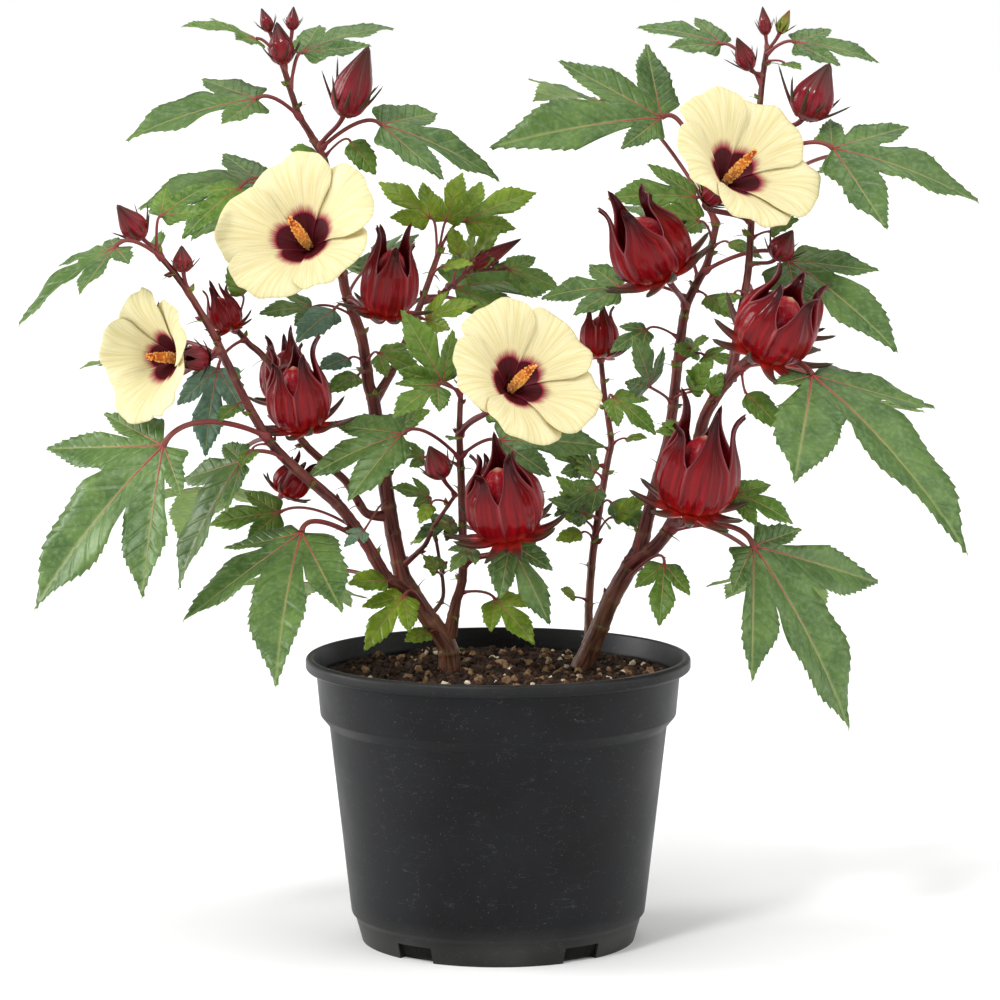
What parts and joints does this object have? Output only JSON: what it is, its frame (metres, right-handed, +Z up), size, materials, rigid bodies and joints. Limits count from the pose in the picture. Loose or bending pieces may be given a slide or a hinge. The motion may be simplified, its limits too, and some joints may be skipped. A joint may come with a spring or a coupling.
{
  "type": "potted plant",
  "caption": "Potted roselle (Hibiscus sabdariffa): maroon stems with lobed leaves, cream flowers with dark eyes and crimson calyces, in a black plastic nursery pot.",
  "frame": {"origin": "centre of the pot's flat underside, where it stands on the ground", "axes": "+Z up along the pot's axis, the front of the plant faces -Y, +X is to the right as seen from the front"},
  "size_m": [0.5574, 0.362, 0.5564],
  "materials": {
    "pot_plastic": "matte",
    "soil": "matte",
    "stem_bark": "satin",
    "foliage": "satin",
    "calyx_flesh": "satin"
  },
  "bodies": {
    "root": {"pot": "pot_plastic", "potting_mix": "soil", "trunk_left": "stem_bark", "trunk_right": "stem_bark", "bough_centre": "stem_bark", "bough_inner_left": "stem_bark", "bough_inner_right": "stem_bark", "bough_outer_left": "stem_bark", "bough_outer_right": "stem_bark", "bough_slim_right": "stem_bark", "bough_tall_left": "stem_bark", "bough_top_right": "stem_bark", "foliage_bright": "foliage", "foliage_centre": "foliage", "foliage_front_twig": "foliage", "foliage_inner_left": "foliage", "foliage_inner_right": "foliage", "foliage_outer_left": "foliage", "foliage_outer_right": "foliage", "foliage_slim_right": "foliage", "foliage_tall_left": "foliage", "foliage_thin_twig": "foliage", "foliage_top_right": "foliage", "leaf_back_left": "foliage", "leaf_back_right": "foliage", "leaf_blue_left": "foliage", "leaf_foot_left": "foliage", "leaf_fork_left": "foliage", "leaf_front_left": "foliage", "leaf_front_right": "foliage", "leaf_fruit_right": "foliage", "leaf_inner_right": "foliage", "leaf_root_left": "foliage", "leaf_side_left": "foliage", "calyx_low_right": "calyx_flesh"}
  },
  "joints": []
}
